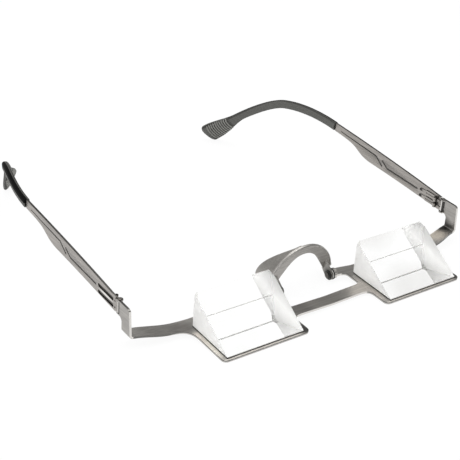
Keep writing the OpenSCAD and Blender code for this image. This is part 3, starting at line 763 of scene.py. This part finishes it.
class GLASSES_OT_hinges(bpy.types.Operator):
    """Finish the hinge pins and the spring leaves"""
    bl_idname = "glasses.hinges"
    bl_label = "Hinges"

    def execute(self, context):
        sheet = settings()[0]
        pin = look_pin()
        inner, outer = look_leaf(), look_spring()

        def choose(middle, normal):
            return outer if outwards(middle, normal) > -0.5 else inner

        for side in SIDES:
            plain_copy(f"hinge_pin_{side}", f"hinge_axle_{side}", "front", "pin_metal", pin, sheet.softness)
            leaf = welded(f"hinge_spring_{side}", f"spring_leaf_{side}")
            paint(leaf, (inner, outer), choose)
            soften(leaf, sheet.softness * 0.5)
            settle(leaf, f"{side}_temple", "pin_metal", f"hinge_spring_{side}")
        return {"FINISHED"}


# The path of the right tip, as two Bezier runs in the glasses' own frame, in millimetres. A place on it is a number
# from 0 at the root through 1 at the turn to 2 at the end.
TIP_ROOT = Vector((TEMPLE_X, 75.8, 13.75))
TIP_TURN = TIP_ROOT + Vector((-5.475, 30, -0.5))
TIP_END = TIP_ROOT + Vector((-21.9, 63.7, -25.6))
TIP_RUNS = (
    (TIP_ROOT, TIP_ROOT + Vector((0, 11, 0.75)), TIP_TURN + Vector((2.6, -9, 2.1)), TIP_TURN),
    (TIP_TURN, TIP_TURN + Vector((-2.5, 8.6, -2.3)), TIP_END + Vector((6.1, -13.4, 13)), TIP_END),
)
# Where the sleeve's mouth lies, where its end starts to close, and how many points each of its rings has
MOUTH_AT, END_FROM, RING_POINTS = 0.8 / 33, 1.965, 32
# The ribs' arcs: the place they are measured from, then their radius, and how far back, in and down from that place
# the first one lies, in millimetres
RIBS_AT, ARC_RADIUS, ARC_BACK, ARC_IN, ARC_DOWN = 1.84, 11.5, 4.9, 1.3, 1.6
ARC_START, ARC_SWEEP = math.radians(-14), math.radians(42)


def ease(low, high, value):
    """0 below the low value, 1 above the high one, and a smooth step between them."""
    share = min(1.0, max(0.0, (value - low) / (high - low)))
    return share * share * (3 - 2 * share)


def mirrored(point, side):
    """A point of the right half, or its mirror image in the left one."""
    return Vector((side * point[0], point[1], point[2]))


def tip_run(t):
    """The run that a place lies on, with the shares of it that are done and still to come."""
    return (TIP_RUNS[0], t, 1 - t) if t < 1 else (TIP_RUNS[1], t - 1, 1 - (t - 1))


def tip_point(t):
    """The point at a place on the path."""
    run, u, v = tip_run(t)
    return run[0] * v ** 3 + run[1] * 3 * v * v * u + run[2] * 3 * v * u * u + run[3] * u ** 3


def tip_frame(t):
    """Directions along the path, across the sleeve's thickness and up its height."""
    run, u, v = tip_run(t)
    along = ((run[1] - run[0]) * v * v + (run[2] - run[1]) * 2 * u * v + (run[3] - run[2]) * u * u).normalized()
    side = (Vector((1, 0, 0)) - along[0] * along).normalized()
    rise = side.cross(along)
    full_twist = 45
    twist = math.radians(full_twist * ease(1, 1.75, t))
    return (along, side * math.cos(twist) + rise * math.sin(twist), rise * math.cos(twist) - side * math.sin(twist))


def sleeve_sizes(t):
    """Half thickness, half height upwards and half height downwards.

    The strap grows into the paddle, more downwards than upwards, and closes in a round end.
    """
    half_thick, thinning, strap_high, growth_up, growth_down = 1.2, 0.15, 3.5, 5.1, 6.5
    end = 1.0 if t <= END_FROM else math.sqrt(max(0.0, 1 - ((t - END_FROM) / (2 - END_FROM)) ** 2))
    return (half_thick * (1 - thinning * ease(1.4, 1.9, t)) * (0.4 + 0.6 * end),
            (strap_high + growth_up * ease(1.66, 1.96, t)) / 2 * (0.2 + 0.8 * end),
            (strap_high + growth_down * ease(1.56, 1.9, t)) / 2 * (0.2 + 0.8 * end))


def sleeve_ring(t, side, inset=0.0, shift=0.0):
    """The sleeve's outline at a place, a little squarer than an ellipse; the left half is mirrored.

    It can be smaller by an inset and shifted along the path.
    """
    squareness = 0.6
    along, across, rise = tip_frame(t)
    half, up, down = sleeve_sizes(t)
    middle = tip_point(t) + along * shift
    ring = []
    for i in range(RING_POINTS):
        turn = 2 * math.pi * i / RING_POINTS
        c, s = math.cos(turn), math.sin(turn)
        out = math.copysign(abs(c) ** squareness, c) * (half - inset)
        high = math.copysign(abs(s) ** squareness, s) * ((up if s > 0 else down) - inset)
        ring.append(mirrored(middle + across * out + rise * high, side))
    return ring


def stripe_map(piece, side):
    """Writes the UV map: painted shade on the rims and rib gaps in the first number, the black stripe in the second.
    """
    mesh = piece.data
    layer = mesh.uv_layers.new(name="sleeve")
    station_count = 120
    stations = [i / station_count * 2 for i in range(station_count + 1)]
    middles = [tip_point(t) for t in stations]
    marks = []
    for vertex in mesh.vertices:
        place = UNLIE @ vertex.co / MM
        place.x *= side
        nearest = min(range(len(stations)), key=lambda i: (middles[i] - place).length_squared)
        t = stations[nearest]
        along, across, rise = tip_frame(t)
        half, up, down = sleeve_sizes(min(t, END_FROM))
        offset = place - middles[nearest]
        out, high = offset.dot(across) / half, offset.dot(rise)
        # Painted shade towards the rims and in the gaps between the ribs
        rim = ease(0.72, 1.0, abs(high) / (up if high > 0 else down)) * ease(0.2, 0.6, abs(out)) * 0.9
        gap = ease(1.71, 1.75, t) * ease(0.3, 0.7, -out) * 0.75
        stripe = ease(-0.2, 0.5, high) * (1 - ease(1.9, 2.4, high)) * ease(-0.3, 0.2, out)
        marks.append((max(rim, gap * (1 - ease(1.93, 1.95, t))), stripe))
    for loop in mesh.loops:
        layer.data[loop.index].uv = marks[loop.vertex_index]


def rib_tree(look):
    """Geometry Nodes: equal arcs with a round section, one pitch apart, laid on the surface of a sleeve."""
    tree = bpy.data.node_groups.new("grip ribs", "GeometryNodeTree")
    face = tree.interface
    for name, kind in (("Sleeve", "NodeSocketObject"), ("Ribs", "NodeSocketInt"),
                       ("Radius", "NodeSocketFloat"), ("Pitch", "NodeSocketFloat"),
                       ("Rib radius", "NodeSocketFloat"), ("Start angle", "NodeSocketFloat"),
                       ("Sweep angle", "NodeSocketFloat"), ("Place", "NodeSocketVector"),
                       ("Turn", "NodeSocketRotation")):
        face.new_socket(name, in_out="INPUT", socket_type=kind)
    face.new_socket("Ribs", in_out="OUTPUT", socket_type="NodeSocketGeometry")
    given = node(tree, "NodeGroupInput").outputs
    index = node(tree, "GeometryNodeInputIndex").outputs[0]
    place = node(tree, "ShaderNodeCombineXYZ", {0: maths(tree, "MULTIPLY", index, given["Pitch"])}).outputs[0]
    dots = node(tree, "GeometryNodePoints", {"Count": given["Ribs"], "Position": place})
    arc = node(tree, "GeometryNodeCurveArc", {"Resolution": 28, "Radius": given["Radius"],
                                              "Start Angle": given["Start angle"],
                                              "Sweep Angle": given["Sweep angle"]})
    arcs = node(tree, "GeometryNodeInstanceOnPoints", {"Points": dots.outputs[0], "Instance": arc.outputs[0]})
    flat = node(tree, "GeometryNodeRealizeInstances", {"Geometry": arcs.outputs[0]})
    placed = node(tree, "GeometryNodeTransform", {"Geometry": flat.outputs[0], "Translation": given["Place"],
                                                  "Rotation": given["Turn"]})
    sleeve = node(tree, "GeometryNodeObjectInfo", {"Object": given["Sleeve"]}, transform_space="ORIGINAL")
    surface = node(tree, "GeometryNodeProximity", {0: sleeve.outputs["Geometry"]}, target_element="FACES")
    laid = node(tree, "GeometryNodeSetPosition", {"Geometry": placed.outputs[0],
                                                  "Position": surface.outputs["Position"]})
    ring = node(tree, "GeometryNodeCurvePrimitiveCircle", {"Resolution": 8, "Radius": given["Rib radius"]})
    bars = node(tree, "GeometryNodeCurveToMesh", {"Curve": laid.outputs[0], "Profile Curve": ring.outputs[0],
                                                  "Fill Caps": True})
    smooth = node(tree, "GeometryNodeSetShadeSmooth", {"Geometry": bars.outputs[0]})
    real = node(tree, "GeometryNodeRealizeInstances", {"Geometry": smooth.outputs[0]})
    painted = node(tree, "GeometryNodeSetMaterial", {"Geometry": real.outputs[0], "Material": look})
    out = node(tree, "NodeGroupOutput")
    tree.links.new(painted.outputs[0], out.inputs[0])
    return tree


def grow(name, tree, **inputs):
    """Runs a tree on an empty object and keeps the plain mesh that it makes."""
    seed = linked(name + "_seed", bpy.data.meshes.new(name + "_seed"))
    modifier = seed.modifiers.new("tree", "NODES")
    modifier.node_group = tree
    sockets = {item.name: item.identifier for item in tree.interface.items_tree
               if item.item_type == "SOCKET" and item.in_out == "INPUT"}
    for key, value in inputs.items():
        modifier[sockets[key.replace("_", " ").capitalize()]] = value
    bpy.context.view_layer.update()
    evaluated = seed.evaluated_get(bpy.context.evaluated_depsgraph_get())
    mesh = bpy.data.meshes.new_from_object(evaluated)
    seed.modifiers.clear()
    bpy.data.objects.remove(seed)
    if not mesh.polygons:
        raise RuntimeError(f"{name}: the tree made nothing")
    mesh.name = name
    return linked(name, mesh)


class GLASSES_OT_tip_sleeves(bpy.types.Operator):
    """Make the soft sleeves with their open mouths and grip ribs"""
    bl_idname = "glasses.tip_sleeves"
    bl_label = "Tip sleeves"

    def execute(self, context):
        sleeve = settings()[2]
        rubber = shared(striped_rubber, "sleeve rubber", sleeve.grey, sleeve.black)
        # The ribs are the sleeve's rubber, painted lighter as a highlight
        rib_rubber = shared(dull, "rib rubber", [c * 2.5 for c in sleeve.grey], rough=0.55, scale=3000.0,
                            depth=FINE_RELIEF, specular=0.4)
        tree = rib_tree(rib_rubber)
        for name, side in SIDES.items():
            # From the bottom of the open mouth over its rim, then along the strap and round the end
            rings = [sleeve_ring(MOUTH_AT, side, inset=0.55, shift=1.2), sleeve_ring(MOUTH_AT, side, inset=0.45),
                     sleeve_ring(MOUTH_AT, side, inset=0.12), sleeve_ring(MOUTH_AT, side, shift=0.12)]
            steps, end_steps = 90, 10
            rings += [sleeve_ring(MOUTH_AT + (END_FROM - MOUTH_AT) * i / steps, side) for i in range(1, steps + 1)]
            rings += [sleeve_ring(2 - (2 - END_FROM) * (1 - i / end_steps) ** 2, side)
                      for i in range(1, end_steps + 1)]
            piece = solid_piece(f"soft_sleeve_{name}", rings)
            smooth(piece, 60)
            stripe_map(piece, side)
            piece.data.materials.append(rubber)
            settle(piece, f"{name}_temple", "grey_rubber", f"tip_sleeve_{name}")

            along, across, rise = tip_frame(RIBS_AT)
            middle = tip_point(RIBS_AT) - rise * ARC_DOWN - across * ARC_IN - along * (ARC_RADIUS + ARC_BACK)
            axes = [mirrored(along, side), mirrored(rise, side)]
            axes.append(axes[0].cross(axes[1]))
            turn = (LIE.to_3x3() @ Matrix(axes).transposed()).to_euler()
            place = LIE @ (mirrored(middle, side) * MM)
            ribs = grow(f"sleeve_ribs_{name}", tree, sleeve=piece, ribs=sleeve.ribs, radius=ARC_RADIUS * MM,
                        pitch=sleeve.rib_step, rib_radius=sleeve.rib_size, start_angle=ARC_START,
                        sweep_angle=ARC_SWEEP, place=place, turn=turn)
            settle(ribs, f"{name}_temple", "grey_rubber")
        return {"FINISHED"}


class GLASSES_OT_studio(bpy.types.Operator):
    """Set the floor, the lamps, the sky and the camera"""
    bl_idname = "glasses.studio"
    bl_label = "Studio"

    def execute(self, context):
        stage = settings()[3]
        self.make_floor(stage)
        self.make_sky()
        self.make_lamps()
        self.make_camera(stage)
        context.scene.view_settings.view_transform = "Standard"
        return {"FINISHED"}

    def make_floor(self, stage):
        """A wide floor that shades like matt paint and looks almost white."""
        mesh = bpy.data.meshes.new("floor")
        half, white_share = 3.0, 0.92
        mesh.from_pydata([(-half, -half, 0), (half, -half, 0), (half, half, 0), (-half, half, 0)], [], [(0, 1, 2, 3)])
        floor = linked("floor", mesh)
        material, tree, _ = new_look("white floor")
        tree.nodes.clear()
        path = node(tree, "ShaderNodeLightPath").outputs
        seen = maths(tree, "MAXIMUM", path["Is Camera Ray"], path["Is Glossy Ray"])
        seen = maths(tree, "MAXIMUM", seen, path["Is Transmission Ray"])
        share = maths(tree, "MULTIPLY", seen, white_share)
        matt = node(tree, "ShaderNodeBsdfDiffuse", {"Color": rgba(stage.floor)})
        white = node(tree, "ShaderNodeEmission", {"Color": (1, 1, 1, 1)})
        mixed = node(tree, "ShaderNodeMixShader", {0: share, 1: matt.outputs[0], 2: white.outputs[0]})
        out = node(tree, "ShaderNodeOutputMaterial")
        tree.links.new(mixed.outputs[0], out.inputs["Surface"])
        mesh.materials.append(material)

    def make_sky(self):
        """A sky that looks plain white, and that metal mirrors in light and dark bands."""
        world = bpy.data.worlds.new("studio sky")
        bpy.context.scene.world = world
        world.use_nodes = True
        tree = world.node_tree
        tree.nodes.clear()
        path = node(tree, "ShaderNodeLightPath").outputs
        direction = node(tree, "ShaderNodeTexCoord").outputs["Generated"]
        height = node(tree, "ShaderNodeSeparateXYZ", {0: direction}).outputs[2]
        shade = node(tree, "ShaderNodeValToRGB", {0: height})
        # Levels of grey from the horizon, at 0, to straight up, at 1
        stops = ((0.0, 0.95), (0.16, 0.75), (0.36, 0.12), (0.62, 0.14), (0.85, 0.9), (1.0, 1.0))
        ramp_points = shade.color_ramp.elements
        while len(ramp_points) < len(stops):
            ramp_points.new(0.5)
        for point, (place, level) in zip(ramp_points, stops):
            point.position = place
            point.color = (level, level, level * 0.985, 1)
        plain = maths(tree, "MAXIMUM", path["Is Camera Ray"], path["Is Transmission Ray"])
        lit = blend_colours(tree, path["Is Glossy Ray"], (0.86, 0.86, 0.86, 1), shade.outputs[0])
        shown = blend_colours(tree, plain, lit, (1.1, 1.1, 1.1, 1))
        sky = node(tree, "ShaderNodeBackground", {"Color": shown})
        out = node(tree, "ShaderNodeOutputWorld")
        tree.links.new(sky.outputs[0], out.inputs[0])

    def make_lamps(self):
        """Two square softboxes that face the glasses."""
        for name, place, size, power in (("top softbox", (0.0, 0.05, 0.9), 0.7, 4.0),
                                         ("left softbox", (-0.9, -0.1, 0.55), 0.6, 2.6)):
            lamp = bpy.data.lights.new(name, "AREA")
            lamp.shape = "SQUARE"
            lamp.size = size
            lamp.energy = power
            made = linked(name, lamp)
            made.location = place
            aim = Vector((0, 0, 0.01)) - Vector(place)
            made.rotation_euler = aim.to_track_quat("-Z", "Y").to_euler()

    def make_camera(self, stage):
        """The photo's camera: its place in the glasses' own frame, its turn around them, its height and its roll."""
        lens = bpy.data.cameras.new("camera")
        lens.sensor_width = 36
        lens.lens = stage.lens
        lens.clip_start = 0.01
        camera = linked("camera", lens)
        place = Vector((-223.9, -256.55, 216.85)) * MM
        around, above, roll = (math.radians(v) for v in (-36.16, 30.08, 3.95))
        turn = (Matrix.Rotation(around, 4, "Z") @ Matrix.Rotation(math.pi / 2 - above, 4, "X")
                @ Matrix.Rotation(roll, 4, "Z"))
        camera.matrix_world = LIE @ Matrix.Translation(place) @ turn
        bpy.context.scene.camera = camera


STEPS = (GLASSES_OT_front_frame, GLASSES_OT_nose_bridge, GLASSES_OT_bridge_swivels, GLASSES_OT_prisms,
         GLASSES_OT_temples, GLASSES_OT_hinges, GLASSES_OT_tip_sleeves, GLASSES_OT_studio)
GROUPS = (("glasses_sheet", GLASSES_PG_sheet), ("glasses_prism", GLASSES_PG_prism),
          ("glasses_sleeve", GLASSES_PG_sleeve), ("glasses_stage", GLASSES_PG_stage))


class GLASSES_PT_panel(bpy.types.Panel):
    """Lists the steps and their settings"""
    bl_label = "Belay glasses"
    bl_idname = "GLASSES_PT_panel"
    bl_space_type = "VIEW_3D"
    bl_region_type = "UI"
    bl_category = "Belay glasses"

    def draw(self, context):
        for name, group in GROUPS:
            box = self.layout.box()
            for key in group.__annotations__:
                box.prop(getattr(context.scene, name), key)
        for step in STEPS:
            self.layout.operator(step.bl_idname)


def register():
    """Adds the settings, the steps and the panel to Blender."""
    for name, group in GROUPS:
        bpy.utils.register_class(group)
        setattr(bpy.types.Scene, name, PointerProperty(type=group))
    for step in STEPS:
        bpy.utils.register_class(step)
    bpy.utils.register_class(GLASSES_PT_panel)


def unregister():
    """Takes them out again."""
    bpy.utils.unregister_class(GLASSES_PT_panel)
    for step in reversed(STEPS):
        bpy.utils.unregister_class(step)
    for name, group in reversed(GROUPS):
        delattr(bpy.types.Scene, name)
        bpy.utils.unregister_class(group)


def main():
    """Runs every step."""
    register()
    for step in STEPS:
        group, action = step.bl_idname.split(".")
        getattr(getattr(bpy.ops, group), action)()


if __name__ == "__main__":
    main()
